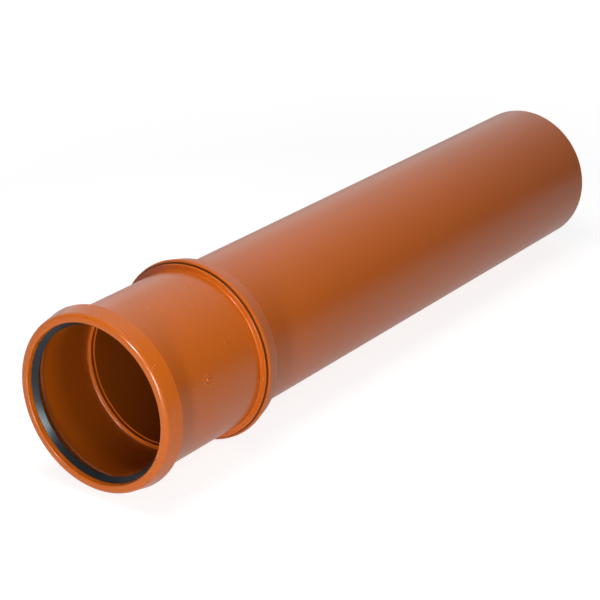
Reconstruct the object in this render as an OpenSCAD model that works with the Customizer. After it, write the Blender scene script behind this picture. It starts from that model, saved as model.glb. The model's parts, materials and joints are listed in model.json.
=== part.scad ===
// Plastic drain pipe with a moulded push-fit socket, a locking ring and a rubber seal.
// It lies along X on a floor at Z = 0, with the mouth of the socket toward -X. It rests on the
// locking ring and on the lower edge of its plain end, so its axis slopes down a little toward +X.
// Sizes are in millimetres.

/* [Pipe] */

// Outside diameter of the pipe
pipe_od = 110; // [50:1:200]
// Wall thickness of the pipe
pipe_wall = 3.4; // [1.8:0.1:8]
// Laying length, from the stop in the socket to the plain end
laying_length = 500; // [250:10:3000]

/* [Socket] */

// Depth from the mouth to the front face of the stop
socket_depth = 60; // [40:0.5:90]
// Radial room between a pushed-in pipe and the socket wall
socket_room = 0.5; // [0.2:0.05:1]
// Wall thickness of the socket barrel
socket_wall = 3.1; // [2:0.1:6]
// How far the stop stands in from the socket wall
stop_height = 3.1; // [1.5:0.1:4]
// Thickness of the stop along the pipe
stop_width = 1.6; // [0.8:0.1:5]
// Rounding in the corner between the wall and the stop
stop_fillet = 1.2; // [0.2:0.1:2]
// Gap between the stop and the seated end of the pipe
seat_gap = 1.3; // [0.2:0.1:3]
// Glue gap between parts that sit inside one another
glue_gap = 0.3; // [0.1:0.05:0.5]

/* [Rim] */

// Height of the rim's rear edge above the barrel
rim_rise = 5.1; // [3.5:0.1:9]
// How much lower the rim is where its rounded front begins
rim_taper = 1.9; // [0:0.1:3]
// Length of the rim along the pipe, without its shoulder
rim_length = 13.8; // [10:0.1:25]
// Length of the sloping shoulder behind the rim
rim_shoulder = 4.2; // [1:0.1:10]
// Rounding of the rim's front outer edge
rim_front_round = 3.3; // [1:0.1:5]
// Rounding of the rim's rear outer edge
rim_rear_round = 0.8; // [0.3:0.1:2]
// Rounding of the mouth's inner edge
mouth_round = 1; // [0.4:0.1:1.6]
// Thickness of the lip in front of the seal
lip_width = 2.5; // [2:0.1:6]
// Depth of the seal groove below the socket wall
groove_depth = 4.8; // [3:0.1:8]
// Length of the seal groove along the pipe
groove_length = 11.3; // [6:0.1:15]
// Length of the bevel where the groove meets the socket wall
bevel_length = 1.2; // [0.2:0.1:3]
// Height of that bevel
bevel_height = 0.8; // [0.2:0.1:2]

/* [Seal] */

// Length of the seal along the pipe
seal_length = 8.8; // [4:0.1:12]
// Rounding of the seal's inner edges
seal_round = 1.2; // [0.5:0.1:3]
// Radial room between the seal and the line of the socket wall
seal_room = 0.1; // [0.05:0.05:0.5]

/* [Flange and locking ring] */

// Distance of the flange's rear face from the mouth
flange_rear = 103.7; // [90:0.1:130]
// Thickness of the flange
flange_width = 1.3; // [0.8:0.1:5]
// How much lower the flange is than the locking ring
flange_below_ring = 2.2; // [0.5:0.1:3]
// Rounding of the flange's front edge
flange_round = 0.4; // [0.2:0.1:1]
// Fillet between the barrel and the flange
flange_fillet = 0.6; // [0.3:0.1:3]
// Width of the open groove between the flange and the locking ring
ring_groove_width = 0.85; // [0.3:0.05:2]
// Depth of that groove below the flange's edge
ring_groove_depth = 2; // [0.5:0.1:2.5]
// How much further out the locking ring stands than the rim
ring_over_rim = 0.9; // [0:0.1:2]
// How much lower the locking ring is at its rear edge
ring_taper = 2.4; // [0:0.1:3]
// Length of the locking ring behind the flange
ring_length = 13.5; // [6:0.1:20]
// Rounding of the locking ring's front edge
ring_front_round = 2; // [0.4:0.1:2.5]
// Rounding of the locking ring's rear edge
ring_rear_round = 1; // [0.4:0.1:2]
// Thickness of the locking ring's rear wall
ring_back_wall = 2.4; // [1:0.1:5]

/* [View] */

// Sub-part to draw

/* [Hidden] */

$fn = 128;
// Small overlap that joins the areas of one section
join = 0.2;
// Turn of each body about its own axis, which keeps the seam of its round faces off the floor
seam_turn = 22.5;

pipe_r = pipe_od / 2;
bore_r = pipe_r - pipe_wall;
socket_r = pipe_r + socket_room;
barrel_r = socket_r + socket_wall;
sleeve_r = pipe_r + glue_gap;
stop_rear = socket_depth + stop_width;
pipe_start = stop_rear + seat_gap;
pipe_end = socket_depth + laying_length;

rim_rear_r = barrel_r + rim_rise;
rim_front_r = rim_rear_r - rim_taper;
groove_r = socket_r + groove_depth;
groove_end = lip_width + groove_length;
wall_start = groove_end + bevel_length;

seal_in_r = socket_r + seal_room;
seal_out_r = groove_r - glue_gap;
seal_end = lip_width + seal_length;

ring_r = rim_rear_r + ring_over_rim;
ring_rear_r = ring_r - ring_taper;
ring_in_r = barrel_r + glue_gap;
ring_lip = flange_rear + ring_groove_width;
ring_end = flange_rear + ring_length;
flange_r = ring_r - flange_below_ring;
flange_front = flange_rear - flange_width;
ring_step_r = flange_r - ring_groove_depth;
sleeve_end = ring_end - ring_back_wall - glue_gap;

// Slope of the axis, from the round of the locking ring's edge down to the plain end
ring_crest = ring_lip + ring_front_round;
lie_drop = ring_r - ring_front_round - pipe_r;
lie_run = pipe_end - ring_crest;
lie_angle = asin(ring_front_round / norm([lie_drop, lie_run])) + atan2(lie_drop, lie_run);
// Height of the middle of the mouth above the floor
mouth_height = pipe_r * cos(lie_angle) + pipe_end * sin(lie_angle);
// Ends of the part along X, measured from the middle of the mouth
low_end = rim_front_round * (cos(lie_angle) - 1) - (rim_front_r - rim_front_round) * sin(lie_angle);
high_end = pipe_end * cos(lie_angle) + pipe_r * sin(lie_angle);

plastic = [0.80, 0.42, 0.19];
rubber = [0.07, 0.08, 0.09];

// Turns a section, drawn as radius and distance from the mouth, into a body that lies on the floor
module turned() {
    translate([-(low_end + high_end) / 2, 0, mouth_height])
        rotate([0, 90 + lie_angle, 0])
            rotate([0, 0, seam_turn])
                rotate_extrude()
                    children();
}

// Rectangle of a section between two radii and two distances from the mouth
module band(r_in, r_out, start, end) {
    translate([r_in, start])
        square([r_out - r_in, end - start]);
}

// Round spot of a section
module spot(r, at, radius) {
    translate([r, at])
        circle(r = radius);
}

// Filled inner corner of a section; inward is 1 on an outer wall and -1 on an inner wall
module fillet(r, at, radius, inward) {
    difference() {
        band(min(r, r + inward * radius), max(r, r + inward * radius), at - radius, at);
        spot(r + inward * radius, at - radius, radius);
    }
}

// Thick rim at the mouth, with the seal groove cut in from inside
module rim_section() {
    difference() {
        union() {
            polygon([
                [socket_r, mouth_round],
                [socket_r + mouth_round, 0],
                [rim_front_r - rim_front_round, 0],
                [rim_front_r, rim_front_round],
                [rim_rear_r, rim_length - rim_rear_round],
                [rim_rear_r - rim_rear_round, rim_length],
                [barrel_r, rim_length + rim_shoulder],
                [socket_r, rim_length + rim_shoulder],
            ]);
            spot(socket_r + mouth_round, mouth_round, mouth_round);
            spot(rim_front_r - rim_front_round, rim_front_round, rim_front_round);
            spot(rim_rear_r - rim_rear_round, rim_length - rim_rear_round, rim_rear_round);
        }
        polygon([
            [socket_r - join, lip_width],
            [groove_r, lip_width],
            [groove_r, groove_end],
            [socket_r + bevel_height, groove_end],
            [socket_r, wall_start],
            [socket_r - join, wall_start],
        ]);
    }
}

// Thin flange that the locking ring sits against
module flange_section() {
    band(barrel_r - join, flange_r, flange_front + flange_round, flange_rear);
    band(barrel_r - join, flange_r - flange_round, flange_front, flange_rear);
    spot(flange_r - flange_round, flange_front + flange_round, flange_round);
    fillet(barrel_r, flange_front, flange_fillet, 1);
}

// Moulded socket: rim, barrel, stop, and a sleeve over the end of the pipe
module socket() {
    color(plastic)
        turned() {
            rim_section();
            band(socket_r, barrel_r, wall_start + join, stop_rear);
            band(socket_r - stop_height, socket_r + join, socket_depth, stop_rear);
            fillet(socket_r, socket_depth, stop_fillet, -1);
            band(sleeve_r, barrel_r, stop_rear - join, sleeve_end);
            flange_section();
        }
}

// Ring behind the flange, hollowed to take the end of the socket's sleeve
module locking_ring() {
    color(plastic)
        turned()
            difference() {
                union() {
                    polygon([
                        [sleeve_r, flange_rear],
                        [ring_step_r, flange_rear],
                        [ring_step_r, ring_lip],
                        [ring_r - ring_front_round, ring_lip],
                        [ring_r, ring_lip + ring_front_round],
                        [ring_rear_r, ring_end - ring_rear_round],
                        [ring_rear_r - ring_rear_round, ring_end],
                        [sleeve_r, ring_end],
                    ]);
                    spot(ring_r - ring_front_round, ring_lip + ring_front_round, ring_front_round);
                    spot(ring_rear_r - ring_rear_round, ring_end - ring_rear_round, ring_rear_round);
                }
                band(sleeve_r - join, ring_in_r, flange_rear - join, ring_end - ring_back_wall);
            }
}

// Plain pipe, cut square at both ends
module pipe() {
    color(plastic)
        turned()
            band(bore_r, pipe_r, pipe_start, pipe_end);
}

// Rubber seal that lies in the groove of the rim
module sealing_ring() {
    color(rubber)
        turned() {
            band(seal_in_r + seal_round, seal_out_r, lip_width, seal_end);
            band(seal_in_r, seal_in_r + seal_round + join, lip_width + seal_round, seal_end - seal_round);
            spot(seal_in_r + seal_round, lip_width + seal_round, seal_round);
            spot(seal_in_r + seal_round, seal_end - seal_round, seal_round);
        }
}

pipe();
socket();
locking_ring();
sealing_ring();
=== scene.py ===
import json
import math

import bmesh
import bpy
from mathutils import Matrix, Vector


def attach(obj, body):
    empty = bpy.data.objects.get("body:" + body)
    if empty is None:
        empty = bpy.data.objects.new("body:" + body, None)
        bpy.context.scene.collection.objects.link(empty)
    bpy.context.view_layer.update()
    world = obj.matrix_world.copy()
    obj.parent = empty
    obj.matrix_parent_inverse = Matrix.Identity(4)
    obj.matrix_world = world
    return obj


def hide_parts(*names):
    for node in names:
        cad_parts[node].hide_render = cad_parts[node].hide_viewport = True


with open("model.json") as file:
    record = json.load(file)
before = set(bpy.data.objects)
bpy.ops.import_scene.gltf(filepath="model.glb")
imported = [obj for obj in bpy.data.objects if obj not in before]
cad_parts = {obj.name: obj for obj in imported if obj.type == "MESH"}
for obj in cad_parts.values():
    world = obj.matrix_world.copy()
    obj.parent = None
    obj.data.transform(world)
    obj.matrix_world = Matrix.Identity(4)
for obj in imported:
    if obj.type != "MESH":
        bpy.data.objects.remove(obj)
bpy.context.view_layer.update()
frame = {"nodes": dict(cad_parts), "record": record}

bl_info = {
    "name": "Drain Pipe Looks",
    "version": (1, 0, 0),
    "blender": (4, 5, 0),
    "location": "3D View > Sidebar > Drain Pipe",
    "description": "Finishes the solids of a push-fit drain pipe and sets up its studio",
    "category": "Object",
}

# Place of the pipe's axis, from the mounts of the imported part
MOUNTS = {mount["name"]: mount for mount in frame["record"]["mounts"]}
ALONG = Vector(MOUNTS["waterway"]["axis"]).normalized()
# Distance from the mouth to the plain end
PIPE_LENGTH = 0.560
MOUTH = Vector(MOUNTS["spigot"]["pos_m"]) - ALONG * PIPE_LENGTH
SLOPE = math.atan2(-ALONG.z, ALONG.x)
# Ways across the axis, to the side and up
SIDE = Vector((0.0, -1.0, 0.0))
UP = SIDE.cross(ALONG)

# Outside radius of the socket's barrel
BARREL_RADIUS = 0.0586
# Painted shade on walls deep inside the tube: share of their colour that they keep, and the depths where the
# loss begins and ends
INNER_PAINTED_SHADE = 0.56
SHADE_START = 0.008
SHADE_END = 0.036
# How far a face looks outward, from -1 to 1, where it begins to count as inner and where it fully does
INNER_START = -0.3
INNER_END = -0.7
# Painted shade in the open groove behind the flange: share of its colour that it keeps, and its ends as
# distances from the mouth
GROOVE_PAINTED_SHADE = 0.3
GROOVE_START = 0.10365
GROOVE_END = 0.10470
# Where the smooth skin of the rim begins to fade and where it ends, as distances from the mouth
SKIN_START = 0.020
SKIN_END = 0.045
SKIN_ROUGHNESS = 0.12
# Usual gloss of plastic seen straight on
PLASTIC_SPECULAR = 0.5
# Pale specks that handling left on the moulded plastic: colour, share, cells to the metre and radius
SPECK_COLOUR = (0.80, 0.42, 0.26)
SPECK_SHARE = 0.5
SPECK_SCALE = 130.0
SPECK_RADIUS = 0.0008
# Clouds of colour in the plastic, as scales to the metre and as the range of the colour
MOULDED_CLOUDS = 16.0
DRAWN_CLOUDS = 9.0
CLOUD_DETAIL = 3.0
CLOUD_RANGE = (0.95, 1.05)
# Smears on the moulded plastic, and how far they change its roughness
SMEAR_SCALE = 30.0
SMEAR_DETAIL = 1.0
SMEAR_RANGE = (-0.03, 0.02)
# Orange peel of the moulded plastic
PEEL_SCALE = 160.0
PEEL_DETAIL = 0.0
PEEL_HEIGHT = 0.000005
# Streaks along the drawn plastic: scale, stretch across the pipe, range of the colour and of the roughness
STREAK_SCALE = 3.0
STREAK_DETAIL = 3.0
STREAK_STRETCH = (1.0, 60.0, 60.0)
STREAK_RANGE = (0.985, 1.015)
STREAK_GLOSS = (-0.02, 0.02)
STREAK_HEIGHT = 0.000003
# Fine grain of the drawn plastic and of the rubber
GRAIN_DETAIL = 2.0
DRAWN_GRAIN = 900.0
DRAWN_GRAIN_HEIGHT = 0.000003
RUBBER_GRAIN = 1500.0
RUBBER_GRAIN_HEIGHT = 0.00001
# Powdery bloom of the rubber, and its bluish gloss
BLOOM_SCALE = 120.0
BLOOM_DETAIL = 4.0
BLOOM_RANGE = (0.5, 1.5)
BLOOM_GLOSS = (-0.02, 0.04)
RUBBER_SPECULAR = 0.55
RUBBER_TINT = (0.75, 0.9, 1.0, 1.0)
# Angle between two faces from which their edge is shown sharp
CREASE = math.radians(25.0)
# Steps of one rounding of the seal's section, and of the turn round the pipe
ROUND_STEPS = 8
SEAL_SIDES = 192
# Gate mark: steps round it, how deep its foot is sunk, and its outline as shares of radius and height
GATE_SIDES = 48
GATE_SUNK = 0.0002
PIP_OUTLINE = ((0.4, 0.95), (0.65, 0.82), (0.85, 0.6), (0.97, 0.3), (1.1, 0.05))
RING_OUTLINE = ((0.7, 0.0), (0.82, 0.35), (0.92, 0.85), (1.0, 1.0), (1.1, 0.8), (1.25, 0.0))
# Point on the axis that the lamps face, as a distance from the mouth
LAMP_AIM = 0.05
SENSOR_WIDTH = 36.0
WHITE = (1.0, 1.0, 1.0, 1.0)
FLOOR_GREY = (0.35, 0.35, 0.35, 1.0)
FLOOR_ROUGHNESS = 0.9
# Places along Y where the floor begins to show in gloss and where it fully does
GLOSS_START = -0.42
GLOSS_END = -0.10
# Distances between which the floor grows whiter to the eye, and how many times whiter
FAR_START = 0.45
FAR_END = 1.1
FAR_GAIN = 1.3
# Ways, from -1 to 1 along an axis, between which the room grows from dim to bright
ROOM_X = (-0.45, 0.1)
ROOM_Y = (-0.65, 0.25)


class PlasticLooks(bpy.types.PropertyGroup):
    """Colours and gloss of the pieces."""

    socket_colour: bpy.props.FloatVectorProperty(
        name="Socket", description="Colour of the moulded socket",
        default=(0.60, 0.124, 0.006), size=3, min=0.0, max=1.0, subtype="COLOR")
    ring_colour: bpy.props.FloatVectorProperty(
        name="Locking ring", description="Colour of the locking ring",
        default=(0.57, 0.116, 0.008), size=3, min=0.0, max=1.0, subtype="COLOR")
    pipe_colour: bpy.props.FloatVectorProperty(
        name="Pipe", description="Colour of the drawn pipe",
        default=(0.57, 0.118, 0.008), size=3, min=0.0, max=1.0, subtype="COLOR")
    rubber_colour: bpy.props.FloatVectorProperty(
        name="Seal", description="Colour of the rubber seal",
        default=(0.010, 0.012, 0.014), size=3, min=0.0, max=1.0, subtype="COLOR")
    plastic_roughness: bpy.props.FloatProperty(
        name="Plastic roughness", description="How dull the plastic is",
        default=0.25, min=0.0, max=1.0, subtype="FACTOR")
    ring_roughness: bpy.props.FloatProperty(
        name="Ring roughness", description="How dull the locking ring is",
        default=0.38, min=0.0, max=1.0, subtype="FACTOR")
    skin: bpy.props.FloatProperty(
        name="Skin", description="Weight of the smooth skin on the socket",
        default=0.35, min=0.0, max=1.0, subtype="FACTOR")
    rubber_roughness: bpy.props.FloatProperty(
        name="Rubber roughness", description="How dull the rubber is",
        default=0.30, min=0.0, max=1.0, subtype="FACTOR")


class GateMarkSizes(bpy.types.PropertyGroup):
    """Sizes of the small mark that the moulding left on the socket's barrel."""

    from_mouth: bpy.props.FloatProperty(
        name="From the mouth", description="Distance from the mouth along the pipe",
        default=0.0473, unit="LENGTH")
    turn: bpy.props.FloatProperty(
        name="Turn", description="Angle round the barrel from the top toward -Y",
        default=math.radians(74.2), subtype="ANGLE")
    pip_radius: bpy.props.FloatProperty(
        name="Pip radius", description="Radius of the cut-off pip in the middle",
        default=0.0010, unit="LENGTH")
    pip_height: bpy.props.FloatProperty(
        name="Pip height", description="Height of the pip above the barrel",
        default=0.0012, unit="LENGTH")
    ring_radius: bpy.props.FloatProperty(
        name="Ring radius", description="Radius of the faint raised ring round the pip",
        default=0.0030, unit="LENGTH")
    ring_height: bpy.props.FloatProperty(
        name="Ring height", description="Height of that ring above the barrel",
        default=0.00030, unit="LENGTH")


class SealSizes(bpy.types.PropertyGroup):
    """Section of the rubber seal as it lies with no pipe in the socket."""

    front: bpy.props.FloatProperty(
        name="Front", description="Distance of its front face from the mouth",
        default=0.0036, unit="LENGTH")
    rear: bpy.props.FloatProperty(
        name="Rear", description="Distance of its rear face from the mouth",
        default=0.0112, unit="LENGTH")
    back_radius: bpy.props.FloatProperty(
        name="Back radius", description="Radius of its back, in the groove of the rim",
        default=0.0599, unit="LENGTH")
    front_radius: bpy.props.FloatProperty(
        name="Front radius", description="Radius of the front edge of its sloping face",
        default=0.0558, unit="LENGTH")
    tip_place: bpy.props.FloatProperty(
        name="Tip", description="Distance of the tip of its lip from the mouth",
        default=0.0073, unit="LENGTH")
    tip_radius: bpy.props.FloatProperty(
        name="Tip radius", description="Radius of the tip of its lip",
        default=0.0517, unit="LENGTH")
    heel_radius: bpy.props.FloatProperty(
        name="Heel radius", description="Radius of its rear part, behind the lip",
        default=0.0575, unit="LENGTH")
    front_round: bpy.props.FloatProperty(
        name="Front rounding", description="Length of the rounding at its front edge",
        default=0.0009, unit="LENGTH")
    edge_round: bpy.props.FloatProperty(
        name="Edge rounding", description="Length of the rounding at its other edges",
        default=0.0006, unit="LENGTH")


class StudioSizes(bpy.types.PropertyGroup):
    """Camera, floor and room."""

    camera_place: bpy.props.FloatVectorProperty(
        name="Camera", description="Place of the camera",
        default=(-1.14357, -0.77211, 0.64927), size=3, subtype="XYZ", unit="LENGTH")
    camera_aim: bpy.props.FloatVectorProperty(
        name="Aim", description="Point that the middle of the picture shows",
        default=(-0.04971, 0.0, 0.05709), size=3, subtype="XYZ", unit="LENGTH")
    lens: bpy.props.FloatProperty(
        name="Lens", description="Focal length on a 36 mm sensor",
        default=121.117, min=1.0, unit="CAMERA")
    floor_width: bpy.props.FloatProperty(
        name="Floor", description="Width of the square floor",
        default=40.0, unit="LENGTH")
    room_dim: bpy.props.FloatProperty(
        name="Dim room", description="Strength of the room in gloss toward -X or -Y",
        default=0.14, min=0.0)
    room_bright: bpy.props.FloatProperty(
        name="Bright room", description="Strength of the room in gloss toward +X and +Y",
        default=0.88, min=0.0)
    floor_glow: bpy.props.FloatProperty(
        name="Floor glow", description="Light that the floor gives to all round",
        default=0.25, min=0.0)
    floor_white: bpy.props.FloatProperty(
        name="Floor white", description="What is added to the floor where the eye sees it",
        default=0.60, min=0.0)
    floor_gloss: bpy.props.FloatProperty(
        name="Floor gloss", description="Share of that which also shows in gloss",
        default=0.35, min=0.0, max=1.0, subtype="FACTOR")


class DrainPipeSettings(bpy.types.PropertyGroup):
    """All the values of this add-on."""

    looks: bpy.props.PointerProperty(type=PlasticLooks)
    gate: bpy.props.PointerProperty(type=GateMarkSizes)
    seal: bpy.props.PointerProperty(type=SealSizes)
    studio: bpy.props.PointerProperty(type=StudioSizes)


def settings():
    """The values of this add-on in the present scene."""
    return bpy.context.scene.drain_pipe


def on_wall(from_mouth, radius, turn):
    """Point on a round wall, at an angle from the top toward -Y."""
    out = UP * math.cos(turn) + SIDE * math.sin(turn)
    return MOUTH + ALONG * from_mouth + out * radius


class NodeTree:
    """Makes and joins the nodes of one tree."""

    def __init__(self, tree):
        self.tree = tree

    def node(self, kind, **values):
        """New node with some of its own settings."""
        made = self.tree.nodes.new(kind)
        for key, value in values.items():
            setattr(made, key, value)
        return made

    def link(self, source, target):
        """Joins two sockets."""
        self.tree.links.new(source, target)

    def ranged(self, value, low, high, to_low, to_high):
        """A value carried from one range to another, and kept inside it."""
        made = self.node("ShaderNodeMapRange")
        made.inputs["From Min"].default_value = low
        made.inputs["From Max"].default_value = high
        made.inputs["To Min"].default_value = to_low
        made.inputs["To Max"].default_value = to_high
        self.link(value, made.inputs["Value"])
        return made.outputs["Result"]

    def maths(self, operation, first, second):
        """Sum, product or the like of two values, each a socket or a number."""
        made = self.node("ShaderNodeMath", operation=operation)
        for socket, value in zip(made.inputs, (first, second)):
            if isinstance(value, (int, float)):
                socket.default_value = value
            else:
                self.link(value, socket)
        return made.outputs["Value"]


class Finish(NodeTree):
    """Node tree of one material, with its shader and the pipe's own coordinates."""

    def __init__(self, name):
        self.material = bpy.data.materials.new(name)
        self.material.use_nodes = True
        super().__init__(self.material.node_tree)
        self.shader = self.tree.nodes["Principled BSDF"]
        place = self.node("ShaderNodeTexCoord")
        turn = self.node("ShaderNodeMapping", vector_type="TEXTURE")
        turn.inputs["Location"].default_value = MOUTH
        turn.inputs["Rotation"].default_value = (0.0, SLOPE, 0.0)
        self.link(place.outputs["Object"], turn.inputs["Vector"])
        self.coords = turn.outputs["Vector"]
        parts = self.node("ShaderNodeSeparateXYZ")
        self.link(self.coords, parts.inputs["Vector"])
        self.along = parts.outputs["X"]

    def stretched(self, scale):
        """The pipe's coordinates, scaled apart along and across it."""
        mapping = self.node("ShaderNodeMapping")
        mapping.inputs["Scale"].default_value = scale
        self.link(self.coords, mapping.inputs["Vector"])
        return mapping.outputs["Vector"]

    def noise(self, vector, scale, detail):
        """Noise over the given coordinates, from 0 to 1."""
        made = self.node("ShaderNodeTexNoise")
        made.inputs["Scale"].default_value = scale
        made.inputs["Detail"].default_value = detail
        self.link(vector, made.inputs["Vector"])
        return made.outputs["Fac"]

    def spread(self, value, ends, middle=0.0):
        """A value from 0 to 1 carried to a range round a middle."""
        return self.ranged(value, 0.0, 1.0, middle + ends[0], middle + ends[1])

    def inner_faces(self):
        """A value that is 1 on faces that look toward the axis and 0 on the others."""
        across = self.node("ShaderNodeVectorMath", operation="MULTIPLY")
        across.inputs[1].default_value = (0.0, 1.0, 1.0)
        self.link(self.coords, across.inputs[0])
        outward = self.node("ShaderNodeVectorMath", operation="NORMALIZE")
        self.link(across.outputs["Vector"], outward.inputs[0])
        facing = self.node("ShaderNodeVectorMath", operation="DOT_PRODUCT")
        self.link(outward.outputs["Vector"], facing.inputs[0])
        self.link(self.node("ShaderNodeNewGeometry").outputs["Normal"], facing.inputs[1])
        return self.ranged(facing.outputs["Value"], INNER_START, INNER_END, 0.0, 1.0)

    def painted_inner_shade(self, inner):
        """Painted shade: a value that is 1 all over and less on inner faces far from both ends."""
        depth = self.maths("MINIMUM", self.along, self.maths("SUBTRACT", PIPE_LENGTH, self.along))
        loss = self.ranged(depth, SHADE_START, SHADE_END, 0.0, 1.0 - INNER_PAINTED_SHADE)
        return self.maths("SUBTRACT", 1.0, self.maths("MULTIPLY", inner, loss))

    def painted_groove_shade(self):
        """Painted shade: a value that is 1 all over and less in the open groove behind the flange."""
        after = self.maths("GREATER_THAN", self.along, GROOVE_START)
        before = self.maths("LESS_THAN", self.along, GROOVE_END)
        inside = self.maths("MULTIPLY", after, before)
        return self.maths("SUBTRACT", 1.0, self.maths("MULTIPLY", inside, 1.0 - GROOVE_PAINTED_SHADE))

    def shaded(self, colour, amount):
        """A colour made darker or lighter by a value round 1."""
        made = self.node("ShaderNodeMix", data_type="RGBA", blend_type="MULTIPLY")
        made.inputs["Factor"].default_value = 1.0
        colour_inputs = [socket for socket in made.inputs if socket.type == "RGBA"]
        colour_inputs[0].default_value = (*colour, 1.0)
        self.link(amount, colour_inputs[1])
        return [socket for socket in made.outputs if socket.type == "RGBA"][0]

    def specked(self, colour, inner):
        """A colour with a few scattered pale specks on outer faces."""
        cells = self.node("ShaderNodeTexVoronoi")
        cells.inputs["Scale"].default_value = SPECK_SCALE
        self.link(self.coords, cells.inputs["Vector"])
        reach = SPECK_RADIUS * SPECK_SCALE
        speck = self.ranged(cells.outputs["Distance"], 0.0, reach, SPECK_SHARE, 0.0)
        outer = self.maths("SUBTRACT", 1.0, inner)
        made = self.node("ShaderNodeMix", data_type="RGBA")
        self.link(self.maths("MULTIPLY", speck, outer), made.inputs["Factor"])
        colour_inputs = [socket for socket in made.inputs if socket.type == "RGBA"]
        self.link(colour, colour_inputs[0])
        colour_inputs[1].default_value = (*SPECK_COLOUR, 1.0)
        return [socket for socket in made.outputs if socket.type == "RGBA"][0]

    def bump(self, layers):
        """Bump from several heights, each a value and its size in metres."""
        normal = None
        for height, distance in layers:
            made = self.node("ShaderNodeBump")
            made.inputs["Distance"].default_value = distance
            self.link(height, made.inputs["Height"])
            if normal:
                self.link(normal, made.inputs["Normal"])
            normal = made.outputs["Normal"]
        self.link(normal, self.shader.inputs["Normal"])


def moulded_plastic(name, colour, roughness, skin=0.0):
    """Moulded plastic: clouds of colour, pale specks, painted shade deep inside and in the groove behind the
    flange, orange peel, and a smooth skin near the mouth.
    """
    finish = Finish(name)
    sockets = finish.shader.inputs
    clouds = finish.noise(finish.coords, MOULDED_CLOUDS, CLOUD_DETAIL)
    inner = finish.inner_faces()
    tone_and_painted_shade = finish.spread(clouds, CLOUD_RANGE)
    # Painted shade: walls deep inside the tube are darkened, standing in for the shade that falls there.
    tone_and_painted_shade = finish.maths("MULTIPLY", tone_and_painted_shade, finish.painted_inner_shade(inner))
    # Painted shade: the open groove between the flange and the locking ring is darkened, standing in for its
    # shadow.
    tone_and_painted_shade = finish.maths("MULTIPLY", tone_and_painted_shade, finish.painted_groove_shade())
    finish.link(finish.specked(finish.shaded(colour, tone_and_painted_shade), inner), sockets["Base Color"])
    if skin:
        bare = PLASTIC_SPECULAR * (1.0 - skin)
        specular = finish.ranged(finish.along, SKIN_START, SKIN_END, bare, PLASTIC_SPECULAR)
        finish.link(specular, sockets["Specular IOR Level"])
        finish.link(finish.ranged(finish.along, SKIN_START, SKIN_END, skin, 0.0), sockets["Coat Weight"])
        sockets["Coat Roughness"].default_value = SKIN_ROUGHNESS
    else:
        sockets["Specular IOR Level"].default_value = PLASTIC_SPECULAR
    smears = finish.noise(finish.coords, SMEAR_SCALE, SMEAR_DETAIL)
    finish.link(finish.spread(smears, SMEAR_RANGE, roughness), sockets["Roughness"])
    peel = finish.noise(finish.coords, PEEL_SCALE, PEEL_DETAIL)
    finish.bump([(peel, PEEL_HEIGHT)])
    return finish.material


def drawn_plastic(name, colour, roughness):
    """Drawn plastic: streaks along the pipe under the same soft clouds, painted shade on walls deep inside,
    and a fine grain.
    """
    finish = Finish(name)
    sockets = finish.shader.inputs
    clouds = finish.noise(finish.coords, DRAWN_CLOUDS, CLOUD_DETAIL)
    streaks = finish.noise(finish.stretched(STREAK_STRETCH), STREAK_SCALE, STREAK_DETAIL)
    tone_and_painted_shade = finish.maths("MULTIPLY", finish.spread(clouds, CLOUD_RANGE), finish.spread(streaks, STREAK_RANGE))
    # Painted shade: walls deep inside the tube are darkened, standing in for the shade that falls there.
    tone_and_painted_shade = finish.maths("MULTIPLY", tone_and_painted_shade, finish.painted_inner_shade(finish.inner_faces()))
    finish.link(finish.shaded(colour, tone_and_painted_shade), sockets["Base Color"])
    finish.link(finish.spread(streaks, STREAK_GLOSS, roughness), sockets["Roughness"])
    grain = finish.noise(finish.coords, DRAWN_GRAIN, GRAIN_DETAIL)
    finish.bump([(streaks, STREAK_HEIGHT), (grain, DRAWN_GRAIN_HEIGHT)])
    return finish.material


def rubber(name, colour, roughness):
    """Rubber: nearly black, with a powdery bloom and a fine grain."""
    finish = Finish(name)
    sockets = finish.shader.inputs
    bloom = finish.noise(finish.coords, BLOOM_SCALE, BLOOM_DETAIL)
    finish.link(finish.shaded(colour, finish.spread(bloom, BLOOM_RANGE)), sockets["Base Color"])
    finish.link(finish.spread(bloom, BLOOM_GLOSS, roughness), sockets["Roughness"])
    sockets["Specular IOR Level"].default_value = RUBBER_SPECULAR
    sockets["Specular Tint"].default_value = RUBBER_TINT
    grain = finish.noise(finish.coords, RUBBER_GRAIN, GRAIN_DETAIL)
    finish.bump([(grain, RUBBER_GRAIN_HEIGHT)])
    return finish.material


def smooth(mesh):
    """Shades round faces smooth and leaves edges sharp."""
    mesh.polygons.foreach_set("use_smooth", [True] * len(mesh.polygons))
    mesh.set_sharp_from_angle(angle=CREASE)


def dress(node, material):
    """Gives a solid its finish."""
    mesh = frame["nodes"][node].data
    smooth(mesh)
    mesh.materials.clear()
    mesh.materials.append(material)


def rounded(corners):
    """Closed outline from corners, each with the length over which it is rounded."""
    outline = []
    for k, (corner, run) in enumerate(corners):
        middle = Vector(corner)
        first = middle + (Vector(corners[k - 1][0]) - middle).normalized() * run
        last = middle + (Vector(corners[(k + 1) % len(corners)][0]) - middle).normalized() * run
        for j in range(ROUND_STEPS + 1):
            share = j / ROUND_STEPS
            outline.append(first.lerp(middle, share).lerp(middle.lerp(last, share), share))
    return outline


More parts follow.
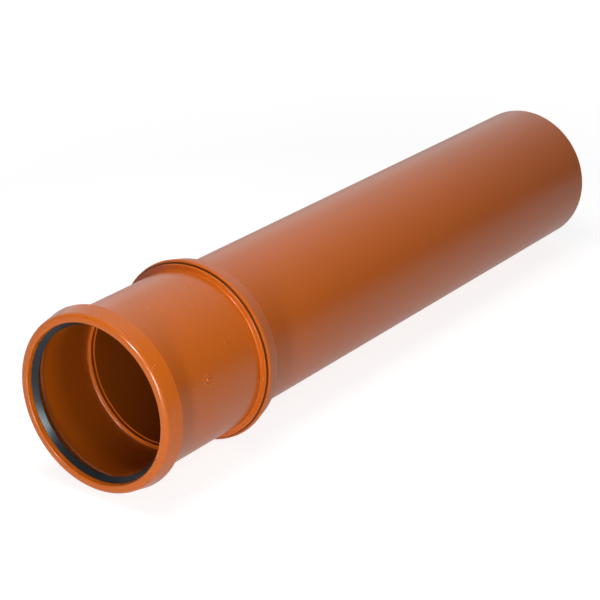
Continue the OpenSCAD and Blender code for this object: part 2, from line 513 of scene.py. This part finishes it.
def turned(name, outline):
    """Ring made by turning a closed outline of distances and radii about the pipe's axis."""
    shape = bmesh.new()
    loops = []
    for k in range(SEAL_SIDES):
        turn = 2.0 * math.pi * k / SEAL_SIDES
        loops.append([shape.verts.new(on_wall(along, radius, turn)) for along, radius in outline])
    for k, loop in enumerate(loops):
        after = loops[(k + 1) % SEAL_SIDES]
        for j in range(len(outline)):
            i = (j + 1) % len(outline)
            shape.faces.new((loop[j], loop[i], after[i], after[j]))
    bmesh.ops.recalc_face_normals(shape, faces=shape.faces)
    return placed(name, shape)


def placed(name, shape):
    """Object made from a finished shape, with round faces smooth and edges sharp."""
    mesh = bpy.data.meshes.new(name)
    shape.to_mesh(mesh)
    shape.free()
    smooth(mesh)
    piece = bpy.data.objects.new(name, mesh)
    bpy.context.scene.collection.objects.link(piece)
    return piece


class DRAINPIPE_OT_pipe(bpy.types.Operator):
    """Finish the drawn pipe"""

    bl_idname = "drain_pipe.pipe"
    bl_label = "Pipe"

    def execute(self, context):
        looks = settings().looks
        dress("pipe", drawn_plastic("pipe_plastic", looks.pipe_colour, looks.plastic_roughness))
        return {"FINISHED"}


class DRAINPIPE_OT_socket(bpy.types.Operator):
    """Finish the moulded socket"""

    bl_idname = "drain_pipe.socket"
    bl_label = "Socket"

    def execute(self, context):
        looks = settings().looks
        material = moulded_plastic(
            "socket_plastic", looks.socket_colour, looks.plastic_roughness, looks.skin)
        dress("socket", material)
        return {"FINISHED"}


class DRAINPIPE_OT_gate_mark(bpy.types.Operator):
    """Make the small gate mark on the barrel of the finished socket"""

    bl_idname = "drain_pipe.gate_mark"
    bl_label = "Gate mark"

    def execute(self, context):
        mark = self.pip_and_ring(settings().gate)
        mark.data.materials.append(frame["nodes"]["socket"].data.materials[0])
        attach(mark, "root")
        return {"FINISHED"}

    def pip_and_ring(self, gate):
        """Pip and ring, turned from one outline and bent onto the barrel."""
        outline = []
        for share, height in PIP_OUTLINE:
            outline.append((share * gate.pip_radius, height * gate.pip_height))
        for share, height in RING_OUTLINE:
            outline.append((share * gate.ring_radius, height * gate.ring_height))
        outline.append((outline[-1][0], -GATE_SUNK))
        shape = bmesh.new()

        def bent(across, along, height):
            turn = gate.turn + across / BARREL_RADIUS
            return on_wall(gate.from_mouth + along, BARREL_RADIUS + height, turn)

        top = shape.verts.new(bent(0.0, 0.0, gate.pip_height))
        loops = []
        for radius, height in outline:
            loop = []
            for k in range(GATE_SIDES):
                angle = 2.0 * math.pi * k / GATE_SIDES
                point = bent(radius * math.cos(angle), radius * math.sin(angle), height)
                loop.append(shape.verts.new(point))
            loops.append(loop)
        foot = shape.verts.new(bent(0.0, 0.0, -GATE_SUNK))
        for k in range(GATE_SIDES):
            after = (k + 1) % GATE_SIDES
            shape.faces.new((top, loops[0][k], loops[0][after]))
            for inner, outer in zip(loops, loops[1:]):
                shape.faces.new((inner[k], outer[k], outer[after], inner[after]))
            shape.faces.new((foot, loops[-1][after], loops[-1][k]))
        bmesh.ops.recalc_face_normals(shape, faces=shape.faces)
        return placed("gate_mark", shape)


class DRAINPIPE_OT_locking_ring(bpy.types.Operator):
    """Finish the locking ring"""

    bl_idname = "drain_pipe.locking_ring"
    bl_label = "Locking ring"

    def execute(self, context):
        looks = settings().looks
        material = moulded_plastic("ring_plastic", looks.ring_colour, looks.ring_roughness)
        dress("locking_ring", material)
        return {"FINISHED"}


class DRAINPIPE_OT_sealing_ring(bpy.types.Operator):
    """Make the rubber seal with its free inner lip"""

    bl_idname = "drain_pipe.sealing_ring"
    bl_label = "Sealing ring"

    def execute(self, context):
        looks = settings().looks
        seal = turned("seal", self.section(settings().seal))
        seal.data.materials.append(rubber("seal_rubber", looks.rubber_colour, looks.rubber_roughness))
        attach(seal, "root")
        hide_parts("sealing_ring")
        return {"FINISHED"}

    def section(self, seal):
        """Outline of distances from the mouth and radii: a square back and a lip that leans in."""
        heel = (seal.tip_place + seal.rear) / 2.0
        return rounded([
            ((seal.rear, seal.back_radius), seal.edge_round),
            ((seal.front, seal.back_radius), seal.edge_round),
            ((seal.front, seal.front_radius), seal.front_round),
            ((seal.tip_place, seal.tip_radius), seal.edge_round),
            ((heel, seal.heel_radius), seal.edge_round),
            ((seal.rear, seal.heel_radius), seal.edge_round),
        ])


class DRAINPIPE_OT_stage(bpy.types.Operator):
    """Set up the floor, the light and the camera"""

    bl_idname = "drain_pipe.stage"
    bl_label = "Stage"

    def execute(self, context):
        studio = settings().studio
        context.scene.view_settings.view_transform = "Standard"
        self.floor(studio)
        self.room(studio)
        mouth = {"way": (-0.95, -0.31, 0.08), "distance": 1.0, "size": (0.08, 0.26)}
        self.lamp("mouth_lamp", **mouth, power=5.8)
        self.lamp("top_lamp", (0.0, 0.0, 1.0), distance=0.8, size=(0.5, 0.5), power=3.9)
        self.lamp("back_lamp", (0.6, 0.1, 0.8), distance=1.4, size=(1.0, 1.0), power=2.1)
        self.lamp("front_lamp", (-0.5, -0.5, 0.7), distance=1.2, size=(0.6, 0.6), power=1.4)
        self.lamp("low_lamp", (-0.6, -0.75, 0.25), distance=1.2, size=(0.5, 0.5), power=1.6)
        self.lamp("side_lamp", (0.0, -1.0, 0.2), distance=0.8, size=(0.3, 0.3), power=0.5)
        socket = frame["nodes"]["socket"]
        shiny = self.group("shiny_pieces", [socket, bpy.data.objects["gate_mark"], bpy.data.objects["seal"]])
        lip = self.group("shiny_lip", [socket])
        self.lamp("streak_lamp", **mouth, power=5.1, shiny=shiny)
        self.lamp("sheen_lamp", (-0.85, -0.48, 0.22), distance=1.0, size=(0.08, 0.2), power=2.2,
                  shiny=shiny)
        self.lamp("upper_lamp", (-0.86, -0.08, 0.50), distance=0.8, size=(0.08, 0.11), power=4.4,
                  shiny=lip)
        self.camera(studio)
        return {"FINISHED"}

    def floor(self, studio):
        """Wide white floor that takes a shadow."""
        half = studio.floor_width / 2.0
        mesh = bpy.data.meshes.new("floor")
        corners = [(-half, -half, 0.0), (half, -half, 0.0), (half, half, 0.0), (-half, half, 0.0)]
        mesh.from_pydata(corners, [], [(0, 1, 2, 3)])
        floor = bpy.data.objects.new("floor", mesh)
        bpy.context.scene.collection.objects.link(floor)
        material = bpy.data.materials.new("floor_white")
        material.use_nodes = True
        tree = NodeTree(material.node_tree)
        sockets = material.node_tree.nodes["Principled BSDF"].inputs
        sockets["Base Color"].default_value = FLOOR_GREY
        sockets["Roughness"].default_value = FLOOR_ROUGHNESS
        sockets["Specular IOR Level"].default_value = 0.0
        sockets["Emission Color"].default_value = WHITE
        tree.link(floor_light(tree, studio), sockets["Emission Strength"])
        mesh.materials.append(material)

    def room(self, studio):
        """Room that is white to the eye, and in gloss dim toward -X and -Y and bright the other way."""
        world = bpy.data.worlds.new("room")
        bpy.context.scene.world = world
        world.cycles_visibility.diffuse = False
        world.use_nodes = True
        tree = NodeTree(world.node_tree)
        sockets = world.node_tree.nodes["Background"].inputs
        sockets["Color"].default_value = WHITE
        parts = tree.node("ShaderNodeSeparateXYZ")
        tree.link(tree.node("ShaderNodeTexCoord").outputs["Generated"], parts.inputs["Vector"])
        along = tree.ranged(parts.outputs["X"], *ROOM_X, studio.room_dim, 1.0)
        across = tree.ranged(parts.outputs["Y"], *ROOM_Y, studio.room_dim, studio.room_bright)
        path = tree.node("ShaderNodeLightPath").outputs
        direct = tree.maths("MAXIMUM", path["Is Camera Ray"], path["Is Transmission Ray"])
        gloss = tree.maths("MULTIPLY", along, across)
        tree.link(tree.maths("MAXIMUM", direct, gloss), sockets["Strength"])

    def group(self, name, pieces):
        """Collection of the pieces that a highlight lamp reaches."""
        made = bpy.data.collections.new(name)
        for piece in pieces:
            made.objects.link(piece)
        return made

    def lamp(self, name, way, distance, size, power, shiny=None):
        """Soft lamp that faces the socket; with shiny pieces it only gives them highlights."""
        target = MOUTH + ALONG * LAMP_AIM
        light = bpy.data.lights.new(name, "AREA")
        light.shape = "RECTANGLE"
        light.size, light.size_y = size
        light.energy = power
        lamp = bpy.data.objects.new(name, light)
        lamp.location = target + Vector(way).normalized() * distance
        lamp.rotation_euler = (-Vector(way)).to_track_quat("-Z", "Y").to_euler()
        lamp.visible_camera = False
        lamp.visible_glossy = shiny is not None
        lamp.visible_diffuse = shiny is None
        lamp.light_linking.receiver_collection = shiny
        bpy.context.scene.collection.objects.link(lamp)

    def camera(self, studio):
        """Camera at the picture's own viewing angle."""
        view = bpy.data.cameras.new("camera")
        view.lens = studio.lens
        view.sensor_width = SENSOR_WIDTH
        camera = bpy.data.objects.new("camera", view)
        camera.location = studio.camera_place
        way = Vector(studio.camera_aim) - Vector(studio.camera_place)
        camera.rotation_euler = way.to_track_quat("-Z", "Y").to_euler()
        bpy.context.scene.collection.objects.link(camera)
        bpy.context.scene.camera = camera


def floor_light(tree, studio):
    """Strength of the floor: a glow, and more where it is seen by eye, through glass or in gloss."""
    path = tree.node("ShaderNodeLightPath").outputs
    place = tree.node("ShaderNodeTexCoord").outputs["Object"]
    parts = tree.node("ShaderNodeSeparateXYZ")
    tree.link(place, parts.inputs["Vector"])
    near = tree.ranged(parts.outputs["Y"], GLOSS_START, GLOSS_END, 0.0, studio.floor_gloss)
    distance = tree.node("ShaderNodeVectorMath", operation="LENGTH")
    tree.link(place, distance.inputs[0])
    far = tree.ranged(distance.outputs["Value"], FAR_START, FAR_END, 1.0, FAR_GAIN)
    seen = tree.maths("MULTIPLY", path["Is Camera Ray"], far)
    seen = tree.maths("MAXIMUM", seen, tree.maths("MULTIPLY", path["Is Glossy Ray"], near))
    seen = tree.maths("MAXIMUM", seen, path["Is Transmission Ray"])
    return tree.maths("ADD", tree.maths("MULTIPLY", seen, studio.floor_white), studio.floor_glow)


class DRAINPIPE_PT_sidebar(bpy.types.Panel):
    """Lists the pieces and the stage"""

    bl_idname = "DRAINPIPE_PT_sidebar"
    bl_label = "Drain Pipe"
    bl_space_type = "VIEW_3D"
    bl_region_type = "UI"
    bl_category = "Drain Pipe"

    def draw(self, context):
        for group in (settings().looks, settings().gate, settings().seal, settings().studio):
            box = self.layout.box()
            for name in group.__annotations__:
                box.prop(group, name)
        for operator in OPERATORS:
            self.layout.operator(operator.bl_idname)


OPERATORS = (DRAINPIPE_OT_pipe, DRAINPIPE_OT_socket, DRAINPIPE_OT_gate_mark,
             DRAINPIPE_OT_locking_ring, DRAINPIPE_OT_sealing_ring, DRAINPIPE_OT_stage)
GROUPS = (PlasticLooks, GateMarkSizes, SealSizes, StudioSizes, DrainPipeSettings)
CLASSES = GROUPS + OPERATORS + (DRAINPIPE_PT_sidebar,)


def register():
    """Adds the classes and the values of this add-on."""
    for made in CLASSES:
        bpy.utils.register_class(made)
    bpy.types.Scene.drain_pipe = bpy.props.PointerProperty(type=DrainPipeSettings)


def unregister():
    """Takes them away again."""
    del bpy.types.Scene.drain_pipe
    for made in reversed(CLASSES):
        bpy.utils.unregister_class(made)


def main():
    """Makes the pieces and the stage."""
    register()
    bpy.ops.drain_pipe.pipe()
    bpy.ops.drain_pipe.socket()
    bpy.ops.drain_pipe.gate_mark()
    bpy.ops.drain_pipe.locking_ring()
    bpy.ops.drain_pipe.sealing_ring()
    bpy.ops.drain_pipe.stage()


if __name__ == "__main__":
    main()
